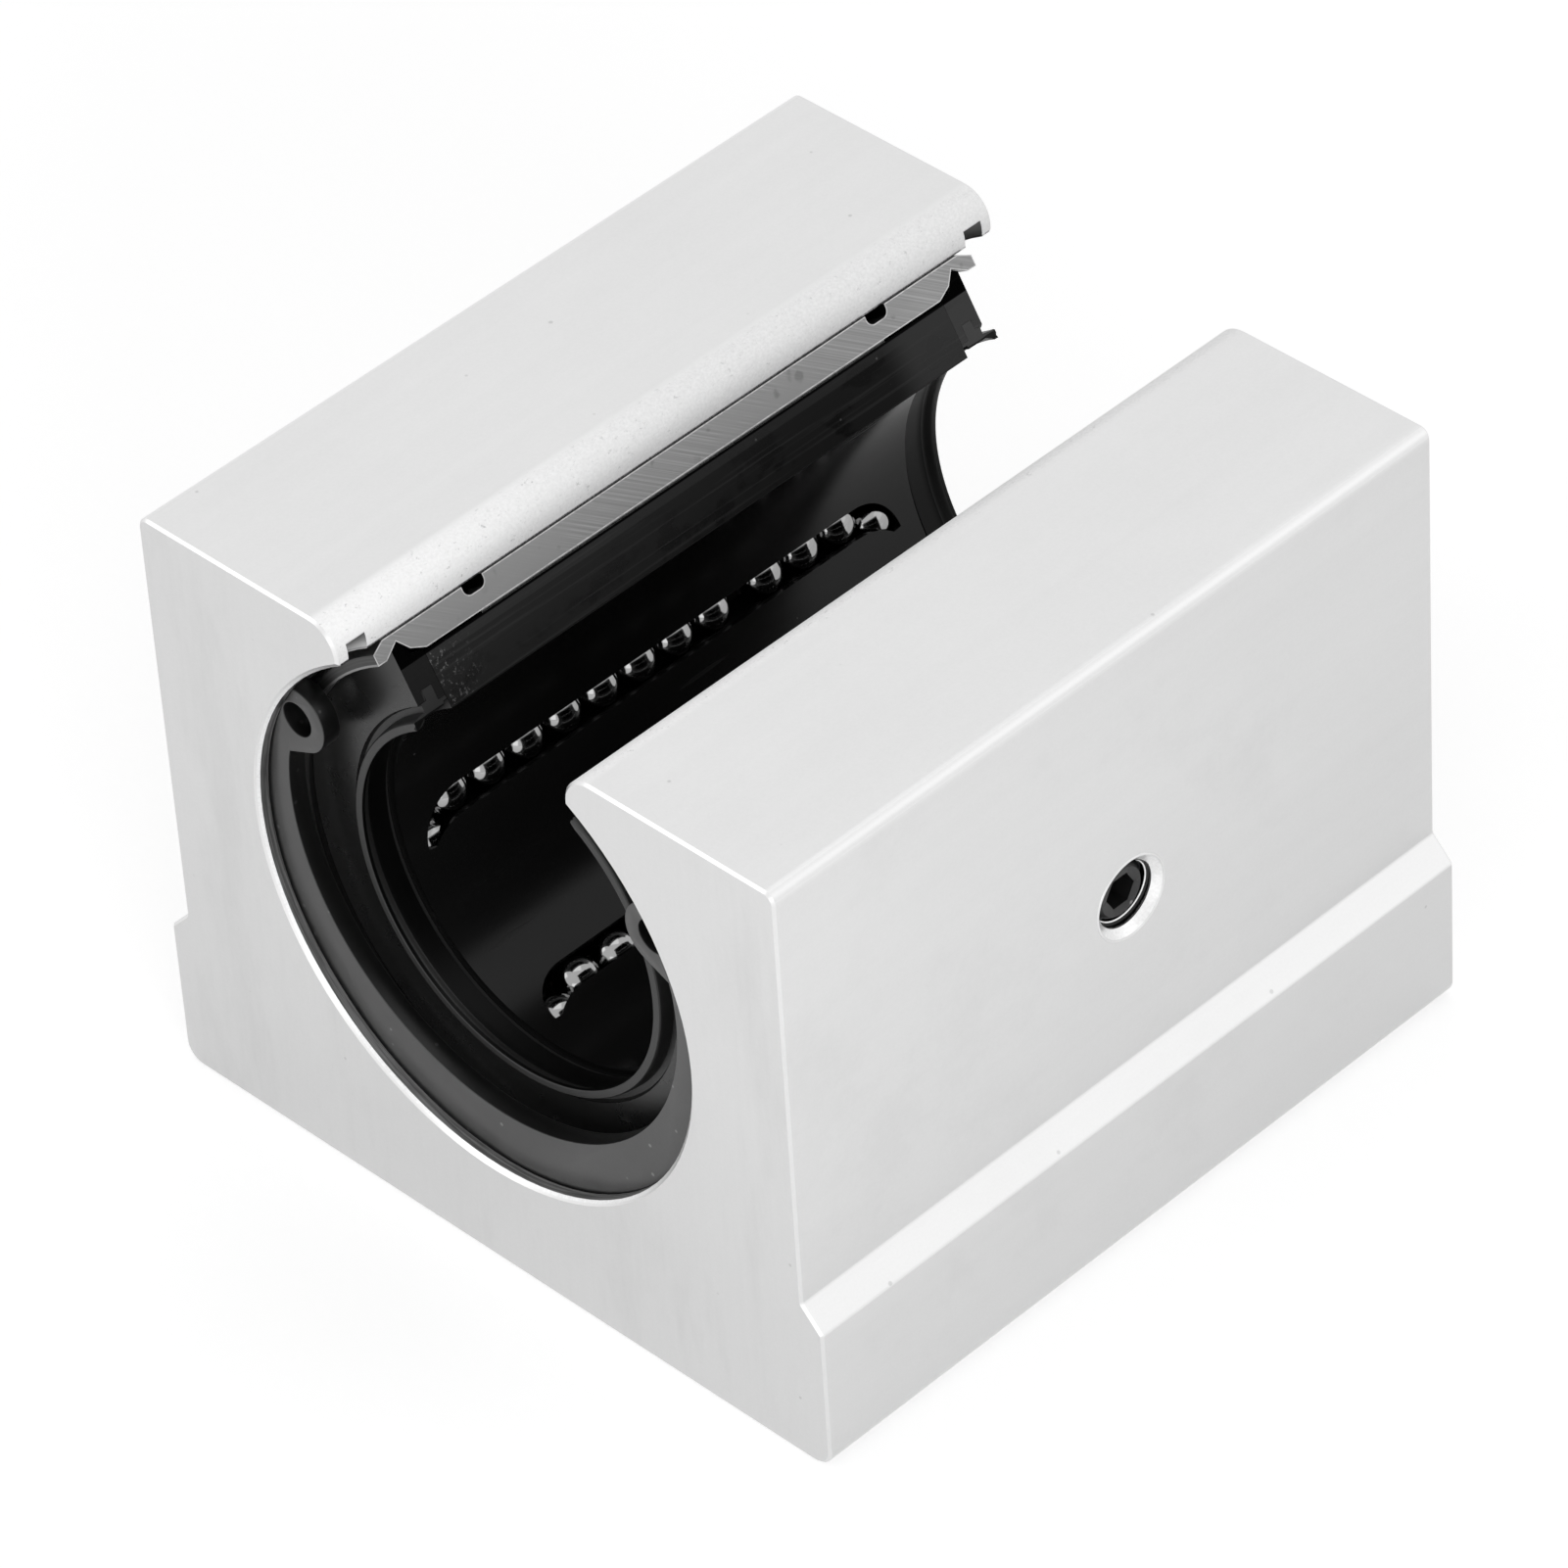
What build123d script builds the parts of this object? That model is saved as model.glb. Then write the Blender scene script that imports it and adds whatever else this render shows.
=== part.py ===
from build123d import *
from math import cos, hypot, pi, radians, sin
import os

os.makedirs("parts", exist_ok=True)

# All sizes are millimetres. The mounting face lies on Z = 0, the bore runs along Y
# and the clamping screw enters from +X. Angles about the bore are degrees from
# straight up, counted positive toward +X.

# Extruded block
block_length = 80.0
flange_width = 80.0
wall_width = 75.5
block_height = 63.0
flange_side_height = 15.6
step_top = 18.0
bore_axis_height = 37.0
bore_radius = 26.0
rail_slot_width = 27.0
lip_round = 3.2
top_edge_round = 1.2
foot_edge_round = 2.0
step_edge_round = 0.4
end_edge_break = 0.25
bore_edge_break = 0.4

# Mounting holes, tapped from below
hole_spacing_across = 55.0
hole_spacing_along = 55.0
mounting_tap_radius = 3.4
mounting_tap_depth = 18.0
mounting_hole_mouth = 0.25
drill_point_slope = 0.6

# Grooves and rings that hold the bushing endwise
bushing_inset = 3.5
ring_thickness = 2.0
ring_side_play = 0.15
ring_groove_depth = 1.5
ring_groove_play = 0.05
ring_band_width = 2.7
ring_inner_offset = 2.5
ring_end_angle = 56.0
ring_corner_round = 0.8
lug_angle = 62.0
lug_hole_inset = 1.8
lug_radius = 3.3
lug_hole_radius = 1.7

# Outer sleeve of the bushing
sleeve_fit = 0.02
sleeve_wall = 2.7
sleeve_slot_angle = 30.5
sleeve_end_chamfer_length = 1.4
sleeve_end_chamfer_depth = 0.7
sleeve_rim_wall = 1.8
sleeve_rim_width = 1.0
sleeve_clip_wall = 0.8
sleeve_clip_rise = 1.6
sleeve_clip_fall = 1.0
sleeve_mouth_wall = 2.0
sleeve_mouth_bevel = 1.5
snap_groove_spacing = 49.2
snap_groove_width = 2.4
snap_groove_depth = 1.05
snap_groove_round = 0.7

# Ball circuits round the shaft
shaft_play = 0.03
ball_radius = 2.25
ball_play = 0.08
race_play = 0.02
race_land_height = 1.25
ball_gap = 0.1
circuit_count = 5
circuit_step = 62.0
first_circuit_angle = -40.0
return_lag_angle = 18.5
circuit_turn_inset = 7.0
spare_gap_step = 6.69
turn_crowding = 0.92
spare_gap_shares = (-0.24, 0.308, -0.012, 0.486, 0.12)
race_land_half_angle = 8.0

# Ball retainer
retainer_shaft_play = 0.07
retainer_sleeve_play = 0.1
retainer_slot_angle = 31.0
retainer_end_play = 0.02
retainer_edge_relief = 0.2
retainer_edge_angle = 2.5
land_side_play_angle = 0.6
window_width = 3.0
window_hook_radius = 6.0
window_hook_angle = 84.0

# End rings and lip seals
end_ring_recess = 1.9
end_ring_length = 2.9
end_ring_play = 0.1
end_ring_mouth_play = 0.5
seal_wall = 1.3
seal_front_wall = 1.8
seal_foot_wall = 2.8
seal_foot_start = 0.8
seal_foot_width = 1.1
seal_relief = 0.6
seal_relief_depth = 0.1
seal_joint_relief = 1.0
seal_joint_width = 0.45
seal_lip_root = 1.2
seal_lip_root_rise = 0.25
seal_lip_reach = 1.1
seal_lip_land = 0.35
seal_lip_tip = 0.2
seal_play = 0.02

# Clamping screw in the side wall
screw_along = 1.3
screw_height = 35.8
screw_seat_depth = 0.35
screw_face_depth = 1.1
thread_radius = 2.93
thread_depth = 0.32
thread_pitch = 1.0
thread_play = 0.05
thread_runout = 1.5
screw_tip_radius = 2.0
screw_tip_length = 0.9
screw_tip_cone = 0.6
screw_end_chamfer = 0.4
socket_across_flats = 3.0
socket_depth = 3.2
countersink_radius = 4.0
dimple_play = 0.25

# Sizes that follow from those above
half_length = block_length / 2
wall_face = wall_width / 2
bushing_end = half_length - bushing_inset
ring_seat_end = bushing_end + ring_thickness + ring_side_play
groove_radius = bore_radius + ring_groove_depth
ring_inner_radius = bore_radius - ring_band_width
lug_hole_circle = bore_radius - lug_hole_inset
sleeve_radius = bore_radius - sleeve_fit
sleeve_bore_radius = bore_radius - sleeve_wall
sleeve_rim_radius = bore_radius - sleeve_rim_wall
sleeve_clip_radius = bore_radius - sleeve_clip_wall
sleeve_mouth_radius = bore_radius - sleeve_mouth_wall
race_radius = sleeve_bore_radius - race_land_height
loaded_circle = race_radius - race_play - ball_radius
shaft_radius = loaded_circle - ball_radius - shaft_play
return_circle = sleeve_bore_radius - ball_radius - retainer_sleeve_play
retainer_bore_radius = shaft_radius + retainer_shaft_play
retainer_radius = sleeve_bore_radius - retainer_sleeve_play
rim_start = bushing_end - sleeve_rim_width
clip_bottom = rim_start - sleeve_clip_rise
mouth_end = clip_bottom - sleeve_clip_fall
end_ring_face = bushing_end - end_ring_recess
end_ring_start = end_ring_face - end_ring_length
seal_bore_radius = shaft_radius + shaft_play
seal_foot_end = end_ring_start + seal_foot_start + seal_foot_width
straight_half_length = end_ring_start - circuit_turn_inset
retainer_end = end_ring_start - retainer_end_play
screw_face = wall_face - screw_face_depth
screw_tip = bore_radius - screw_seat_depth
cut_margin = 5.0


def direction(angle):
    """Unit direction, across and up, at an angle about the bore."""
    return sin(radians(angle)), cos(radians(angle))


def at_bore(shape):
    """Lift a shape made about the Y axis to the height of the bore."""
    return Pos(0, 0, bore_axis_height) * shape


def turned(corners):
    """Ring turned about the Y axis from corners given as (along, radius)."""
    outline = Plane.YZ * Polyline(*corners, close=True)
    return revolve(make_face(outline), Axis.Y)


def opening(half_angle, radius):
    """Wedge along the whole block that opens a ring toward the rail slot."""
    reach = radius / cos(radians(half_angle))
    side, up = direction(half_angle)
    corners = [(0, 0), (reach * side, reach * up), (-reach * side, reach * up)]
    face = make_face(Plane.XZ * Polyline(*corners, close=True))
    return extrude(face, amount=block_length, both=True)


def band(inner, outer, middle_angle, half_angle, half_width):
    """Piece of a tube about the Y axis, a few degrees wide."""
    reach = outer / cos(radians(half_angle))
    left = direction(middle_angle - half_angle)
    right = direction(middle_angle + half_angle)
    corners = [(0, 0), (reach * left[0], reach * left[1]), (reach * right[0], reach * right[1])]
    wedge = extrude(make_face(Plane.XZ * Polyline(*corners, close=True)), amount=half_width, both=True)
    tube = extrude(Plane.XZ * (Circle(outer) - Circle(inner)), amount=half_width, both=True)
    return tube & wedge


# Block

def block_section():
    """End view of the block before it is bored, with the rail slot cut from the top."""
    foot, wall = flange_width / 2, wall_face
    corners = [(-foot, 0), (foot, 0), (foot, flange_side_height), (wall, step_top),
               (wall, block_height), (-wall, block_height), (-wall, step_top),
               (-foot, flange_side_height)]
    section = Sketch() + make_face(Polyline(*corners, close=True))
    slot_height = block_height - bore_axis_height
    slot = Rectangle(rail_slot_width, slot_height, align=(Align.CENTER, Align.MIN))
    section -= Pos(0, bore_axis_height) * slot

    def corner(across, up):
        return section.vertices().sort_by_distance((across, up))[:1]

    rounds = [((side * foot, 0), foot_edge_round) for side in (-1, 1)]
    rounds += [((side * wall, block_height), top_edge_round) for side in (-1, 1)]
    rounds += [((side * rail_slot_width / 2, block_height), lip_round) for side in (-1, 1)]
    rounds += [((side * foot, flange_side_height), step_edge_round) for side in (-1, 1)]
    rounds += [((side * wall, step_top), step_edge_round) for side in (-1, 1)]
    for place, radius in rounds:
        section = fillet(corner(*place), radius)
    return section


def block_blank():
    """Block cut to length, its end edges broken."""
    blank = extrude(Plane.XZ * block_section(), amount=half_length, both=True)
    for end in (0, -1):
        blank = chamfer(blank.faces().sort_by(Axis.Y)[end].edges(), end_edge_break)
    return blank


def bore():
    """Bore for the bushing, its mouths bevelled."""
    mouth, bevel_end = bore_radius + bore_edge_break, half_length - bore_edge_break
    corners = [(-half_length, 0), (-half_length, mouth), (-bevel_end, bore_radius),
               (bevel_end, bore_radius), (half_length, mouth), (half_length, 0)]
    return at_bore(turned(corners))


def ring_groove():
    """Groove near the end of the bore that a retaining ring snaps into."""
    corners = [(bushing_end, bore_radius - cut_margin), (bushing_end, groove_radius),
               (ring_seat_end, groove_radius), (ring_seat_end, bore_radius - cut_margin)]
    return at_bore(turned(corners))


def mounting_tap():
    """Blind tapped hole drilled up from the mounting face."""
    point = mounting_tap_depth + mounting_tap_radius * drill_point_slope
    mouth = mounting_tap_radius + mounting_hole_mouth
    corners = [(0, 0), (mouth, 0), (mounting_tap_radius, mounting_hole_mouth),
               (mounting_tap_radius, mounting_tap_depth), (0, point)]
    return revolve(make_face(Plane.XZ * Polyline(*corners, close=True)), Axis.Z)


def zigzag(start, end, crest, depth):
    """Corners of a thread outline along X, given as (along, radius)."""
    turns = int((end - start) / thread_pitch)
    corners = []
    for turn in range(turns):
        along = start + turn * thread_pitch
        corners += [(along, crest - depth), (along + thread_pitch / 2, crest)]
    return corners + [(start + turns * thread_pitch, crest - depth)]


def screw_hole():
    """Tapped and countersunk hole through the side wall into the bore."""
    crest = thread_radius + thread_play + thread_depth
    core = thread_radius + thread_play
    mouth_start = wall_face - (countersink_radius - crest)
    thread_end = mouth_start - thread_runout
    start = bore_radius - thread_pitch
    corners = [(start, 0)] + zigzag(start, thread_end, crest, thread_depth)
    corners += [(thread_end, core), (thread_end, crest), (mouth_start, crest),
                (wall_face, countersink_radius),
                (wall_face + cut_margin, countersink_radius), (wall_face + cut_margin, 0)]
    tool = revolve(make_face(Polyline(*corners, close=True)), Axis.X)
    return Pos(0, screw_along, screw_height) * tool


def make_housing():
    housing = block_blank() - bore()
    housing -= ring_groove()
    housing -= mirror(ring_groove(), Plane.XZ)
    for across in (-1, 1):
        for along in (-1, 1):
            place = Pos(across * hole_spacing_across / 2, along * hole_spacing_along / 2)
            housing -= place * mounting_tap()
    return housing - screw_hole()


# Bushing sleeve

def sleeve_outline():
    """Rear half of the sleeve section, from its bore round to the outside."""
    inside = [(mouth_end - sleeve_mouth_bevel, sleeve_bore_radius),
              (mouth_end, sleeve_mouth_radius), (clip_bottom, sleeve_clip_radius),
              (rim_start, sleeve_rim_radius), (bushing_end, sleeve_rim_radius)]
    outside = [(bushing_end, sleeve_radius - sleeve_end_chamfer_depth),
               (bushing_end - sleeve_end_chamfer_length, sleeve_radius)]
    return inside + outside


def snap_groove():
    """Round-bottomed groove round the outside of the sleeve."""
    outline = RectangleRounded(snap_groove_width, 2 * snap_groove_depth, snap_groove_round)
    place = Plane.YZ * Pos(snap_groove_spacing / 2, sleeve_radius)
    return revolve(place * outline, Axis.Y)


def circuit_angles():
    """Angles of the five loaded rows about the bore."""
    return [first_circuit_angle - circuit_step * row for row in range(circuit_count)]


def screw_dimple():
    """Flat-bottomed dimple in the sleeve that the clamping screw bears on."""
    depth = bore_radius - screw_tip + cut_margin
    tool = Cylinder(screw_tip_radius + dimple_play, depth, rotation=(0, 90, 0),
                    align=(Align.CENTER, Align.CENTER, Align.MIN))
    return Pos(screw_tip, screw_along, screw_height - bore_axis_height) * tool


def make_sleeve():
    rear = sleeve_outline()
    front = [(-along, radius) for along, radius in reversed(rear)]
    sleeve = turned(rear + front)
    for angle in circuit_angles():
        sleeve += band(race_radius, sleeve_bore_radius + sleeve_fit, angle,
                       race_land_half_angle, straight_half_length)
    sleeve -= snap_groove()
    sleeve -= mirror(snap_groove(), Plane.XZ)
    sleeve -= opening(sleeve_slot_angle, bore_radius + cut_margin)
    return at_bore(sleeve - screw_dimple())


# Ball circuits

def circuit_plane(angle):
    """Plane of one circuit: X from the return row to the loaded row, Y along the bore."""
    loaded = [loaded_circle * part for part in direction(angle)]
    back = [return_circle * part for part in direction(angle - return_lag_angle)]
    across, up = loaded[0] - back[0], loaded[1] - back[1]
    middle = ((loaded[0] + back[0]) / 2, 0, (loaded[1] + back[1]) / 2)
    return Plane(origin=middle, x_dir=(across, 0, up), z_dir=(-up, 0, across))


def turn_radius():
    """Half the distance between the loaded row and its return row."""
    ahead, behind = direction(0), direction(-return_lag_angle)
    return hypot(loaded_circle * ahead[0] - return_circle * behind[0],
                 loaded_circle * ahead[1] - return_circle * behind[1]) / 2


def turn_share():
    """Share of a turn in ball counting; balls stand further apart round its bend."""
    return pi * turn_radius() * turn_crowding


def circuit_length():
    """Length of a whole circuit in ball counting."""
    return 4 * straight_half_length + 2 * turn_share()


def ball_steps():
    """Whole steps between the balls of a circuit; they never touch."""
    return int((circuit_length() - spare_gap_step) / (2 * ball_radius + ball_gap))


def place_on_circuit(travel):
    """Point of a circuit in its own plane, counted from the middle of its loaded row."""
    turn, half = turn_radius(), straight_half_length
    travel = (travel + half) % circuit_length() - half
    if travel <= half:
        return turn, travel
    travel -= half
    if travel <= turn_share():
        bend = pi * travel / turn_share()
        return turn * cos(bend), half + turn * sin(bend)
    travel -= turn_share()
    if travel <= 2 * half:
        return -turn, half - travel
    bend = pi * (travel - 2 * half) / turn_share()
    return -turn * cos(bend), -half - turn * sin(bend)


def ball_places(row):
    """Ball centres of one circuit, with one spare gap left in the train."""
    pitch = (circuit_length() - spare_gap_step) / ball_steps()
    start = spare_gap_shares[row] * straight_half_length + spare_gap_step
    return [place_on_circuit(start + pitch * ball) for ball in range(ball_steps() + 1)]


def make_balls(row, loaded):
    """Balls of one circuit that are on its loaded side, or on its return side."""
    plane = circuit_plane(circuit_angles()[row])
    balls = []
    for across, along in ball_places(row):
        if (across > 0) == loaded:
            centre = plane.from_local_coords((across, along, 0))
            balls.append(at_bore(Pos(*centre) * Sphere(ball_radius)))
    return Compound(children=balls)


def ball_channel(angle):
    """Round-bottomed channel, open toward the sleeve, for one circuit of balls."""
    radius, turn, half = ball_radius + ball_play, turn_radius(), straight_half_length
    outline = Sketch() + Circle(radius)
    outline += Rectangle(2 * radius, cut_margin, align=(Align.CENTER, Align.MIN))

    def section(along):
        return Plane(origin=(turn, along, 0), x_dir=(1, 0, 0), z_dir=(0, -1, 0)) * outline

    row = extrude(section(0), amount=half, both=True)
    bend = revolve(section(half), Axis((0, half, 0), (0, 0, 1)), 180)
    channel = row + Pos(-2 * turn, 0) * row + bend + mirror(bend, Plane.XZ)
    return circuit_plane(angle) * channel


def ball_window(angle):
    """Slot, narrower than a ball, that lets the loaded row touch the shaft."""
    across, up = direction(angle)
    plane = Plane(origin=(0, 0, 0), x_dir=(up, 0, -across), z_dir=(across, 0, up))
    turn, half = turn_radius(), straight_half_length
    outer, inner = turn + window_width / 2, turn - window_width / 2
    reach = 2 * outer
    side, forward = direction(90 - window_hook_angle)
    sector = make_face(Polyline((0, 0), (reach, 0), (reach, reach),
                                (reach * side, reach * forward), close=True))
    inner_edge = Pos(inner - window_hook_radius, 0) * Circle(window_hook_radius)
    hook = Pos(-turn, half) * ((Circle(outer) - inner_edge) & sector)
    outline = Rectangle(window_width, 2 * half) + hook + mirror(hook, Plane.XZ)
    return extrude(plane * outline, loaded_circle)


def make_retainer():
    corners = [(-retainer_end, retainer_bore_radius), (retainer_end, retainer_bore_radius),
               (retainer_end, retainer_radius), (-retainer_end, retainer_radius)]
    retainer = turned(corners) - opening(retainer_slot_angle, bore_radius)
    for angle in circuit_angles():
        retainer -= ball_channel(angle)
        retainer -= ball_window(angle)
        retainer -= band(race_radius - race_play, bore_radius, angle,
                         race_land_half_angle + land_side_play_angle,
                         straight_half_length + ball_play)
    edge_radius = retainer_radius - retainer_edge_relief
    for side in (-1, 1):
        retainer -= band(edge_radius, bore_radius, side * retainer_slot_angle,
                         retainer_edge_angle, half_length)
    return at_bore(retainer)


# End rings and seals

def make_end_ring(side):
    """Rigid ring that snaps into the sleeve mouth and carries the lip seal."""
    back_radius = seal_bore_radius + seal_wall + seal_play
    front_radius = seal_bore_radius + seal_front_wall + seal_play
    foot_radius = seal_bore_radius + seal_foot_wall + seal_play
    foot_start = end_ring_start + seal_foot_start
    slope = (sleeve_clip_radius - sleeve_rim_radius) / sleeve_clip_rise
    face_radius = sleeve_clip_radius - slope * (end_ring_face - clip_bottom)
    corners = [(end_ring_start, back_radius), (end_ring_start, retainer_radius),
               (mouth_end, sleeve_mouth_radius - end_ring_mouth_play),
               (clip_bottom, sleeve_clip_radius - end_ring_play),
               (end_ring_face, face_radius - end_ring_play), (end_ring_face, front_radius),
               (seal_foot_end, front_radius), (seal_foot_end, foot_radius),
               (foot_start, foot_radius), (foot_start, back_radius)]
    ring = turned([(side * along, radius) for along, radius in corners])
    return at_bore(ring - opening(retainer_slot_angle, bore_radius + cut_margin))


def make_end_seal(side):
    """Rubber ring with a lip that flares out to its edge on the shaft."""
    bore = seal_bore_radius
    foot_start = end_ring_start + seal_foot_start + seal_play
    foot_end = seal_foot_end - seal_play
    joint_end = end_ring_start + seal_joint_width
    nose = end_ring_face + seal_lip_reach
    corners = [(nose - seal_lip_land, bore), (nose, bore), (nose, bore + seal_lip_tip),
               (end_ring_face + seal_lip_root_rise, bore + seal_lip_root),
               (end_ring_face, bore + seal_front_wall), (foot_end, bore + seal_front_wall),
               (foot_end, bore + seal_foot_wall), (foot_start, bore + seal_foot_wall),
               (foot_start, bore + seal_wall), (end_ring_start, bore + seal_wall),
               (end_ring_start, bore + seal_joint_relief), (joint_end, bore + seal_joint_relief),
               (joint_end, bore + seal_relief),
               (end_ring_face - seal_relief_depth, bore + seal_relief)]
    seal = turned([(side * along, radius) for along, radius in corners])
    return at_bore(seal - opening(retainer_slot_angle, bore_radius + cut_margin))


# Retaining rings

def ring_outline():
    """End view of a retaining ring: a band, widest below, that ends in two lugs."""
    outer = groove_radius - ring_groove_play
    reach = groove_radius / cos(radians(ring_end_angle))
    across, up = direction(ring_end_angle)
    gap = make_face(Polyline((0, 0), (reach * across, reach * up),
                             (-reach * across, reach * up), close=True))
    inside = Pos(0, ring_inner_offset) * Circle(ring_inner_radius)
    outline = Sketch() + Circle(outer) - inside - gap
    outline = fillet(outline.vertices().sort_by(Axis.Y)[-4:], ring_corner_round)
    for angle in (-lug_angle, lug_angle):
        across, up = direction(angle)
        place = Pos(lug_hole_circle * across, lug_hole_circle * up)
        lug = Circle(outer) & (place * Circle(lug_radius))
        outline = outline + lug - place * Circle(lug_hole_radius)
    return outline


def make_retaining_ring(side):
    """Internal retaining ring, open toward the rail slot, with two lug holes."""
    middle = side * (bushing_end + ring_thickness / 2)
    ring = extrude(Plane.XZ * ring_outline(), amount=ring_thickness / 2, both=True)
    return at_bore(Pos(0, middle, 0) * ring)


# Clamping screw

def make_set_screw():
    cone_end = screw_tip + screw_tip_length + screw_tip_cone
    thread_end = screw_face - screw_end_chamfer
    root = thread_radius - thread_depth
    corners = [(screw_tip, 0), (screw_tip, screw_tip_radius),
               (screw_tip + screw_tip_length, screw_tip_radius)]
    corners += zigzag(cone_end, thread_end, thread_radius, thread_depth)
    corners += [(thread_end, root), (screw_face, root - screw_end_chamfer / 2), (screw_face, 0)]
    screw = revolve(make_face(Polyline(*corners, close=True)), Axis.X)
    socket = RegularPolygon(socket_across_flats / 2, 6, major_radius=False)
    cutter = extrude(Plane.YZ.offset(screw_face) * socket, amount=-socket_depth)
    return Pos(0, screw_along, screw_height) * (screw - cutter)


pieces = {
    "housing": make_housing(),
    "outer_sleeve": make_sleeve(),
    "ball_retainer": make_retainer(),
    "end_ring_front": make_end_ring(-1),
    "end_ring_rear": make_end_ring(1),
    "end_seal_front": make_end_seal(-1),
    "end_seal_rear": make_end_seal(1),
    "retaining_ring_front": make_retaining_ring(-1),
    "retaining_ring_rear": make_retaining_ring(1),
    "set_screw": make_set_screw(),
}
for number in range(circuit_count):
    pieces[f"loaded_balls_{number + 1}"] = make_balls(number, True)
    pieces[f"return_balls_{number + 1}"] = make_balls(number, False)

for name, shape in pieces.items():
    export_step(shape, f"parts/{name}.step")
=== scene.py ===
"""Looks of an open linear bearing block: finishes, fine parts, floor, light and camera."""
import logging
import math
from dataclasses import dataclass
from enum import Enum
from functools import reduce
from typing import Any, Union

import bmesh
import bpy
from mathutils import Matrix, Vector, noise


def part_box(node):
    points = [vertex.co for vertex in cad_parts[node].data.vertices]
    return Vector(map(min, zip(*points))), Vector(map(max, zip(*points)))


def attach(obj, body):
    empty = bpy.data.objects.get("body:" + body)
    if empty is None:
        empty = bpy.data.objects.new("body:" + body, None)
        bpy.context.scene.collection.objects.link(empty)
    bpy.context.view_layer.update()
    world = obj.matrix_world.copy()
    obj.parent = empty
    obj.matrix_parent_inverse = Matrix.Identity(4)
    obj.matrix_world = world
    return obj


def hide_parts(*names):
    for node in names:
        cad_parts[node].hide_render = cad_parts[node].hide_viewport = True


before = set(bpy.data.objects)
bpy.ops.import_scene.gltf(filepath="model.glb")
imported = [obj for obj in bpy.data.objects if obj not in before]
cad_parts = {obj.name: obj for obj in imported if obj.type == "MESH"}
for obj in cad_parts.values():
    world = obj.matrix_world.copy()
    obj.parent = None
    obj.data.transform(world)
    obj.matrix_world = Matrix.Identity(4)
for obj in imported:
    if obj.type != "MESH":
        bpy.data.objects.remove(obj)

log = logging.getLogger("bearing_block")

MM = 0.001
BORE_HEIGHT = 37 * MM
BORE_RADIUS = 26 * MM
WORN = "worn"
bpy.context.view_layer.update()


class End(Enum):
    """An end of the block, valued by the sign of Y there."""

    FRONT = -1
    REAR = 1

    @property
    def word(self) -> str:
        """The end's name as the nodes have it."""
        return self.name.lower()


class Wire:
    """A shader socket that takes part in sums."""

    def __init__(self, board: "Board", socket: bpy.types.NodeSocket) -> None:
        """Keep the socket and the board that it is on."""
        self.board = board
        self.socket = socket

    def __add__(self, other: "Value") -> "Wire":
        """Sum."""
        return self.board.maths("ADD", self, other)

    def __radd__(self, other: "Value") -> "Wire":
        """Sum with a number on the left."""
        return self.board.maths("ADD", other, self)

    def __sub__(self, other: "Value") -> "Wire":
        """Difference."""
        return self.board.maths("SUBTRACT", self, other)

    def __rsub__(self, other: "Value") -> "Wire":
        """Difference from a number."""
        return self.board.maths("SUBTRACT", other, self)

    def __mul__(self, other: "Value") -> "Wire":
        """Product."""
        return self.board.maths("MULTIPLY", self, other)

    def __rmul__(self, other: "Value") -> "Wire":
        """Product with a number on the left."""
        return self.board.maths("MULTIPLY", other, self)

    def __gt__(self, other: "Value") -> "Wire":
        """1 where this is greater, 0 elsewhere."""
        return self.board.maths("GREATER_THAN", self, other)

    def __lt__(self, other: "Value") -> "Wire":
        """1 where this is less, 0 elsewhere."""
        return self.board.maths("LESS_THAN", self, other)

    def __abs__(self) -> "Wire":
        """Size without sign."""
        return self.board.maths("ABSOLUTE", self)

    def ramp(self, low: float, high: float) -> "Wire":
        """Smooth rise from 0 to 1.

        Args:
            low: value that gives 0.
            high: value that gives 1. It may be the smaller of the two.

        Returns:
            The eased value.
        """
        settings = {"interpolation_type": "SMOOTHSTEP"}
        inputs = {"Value": self, "From Min": low, "From Max": high}
        return self.board.output("ShaderNodeMapRange", settings, inputs, "Result")


Value = Union[Wire, float]


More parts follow.
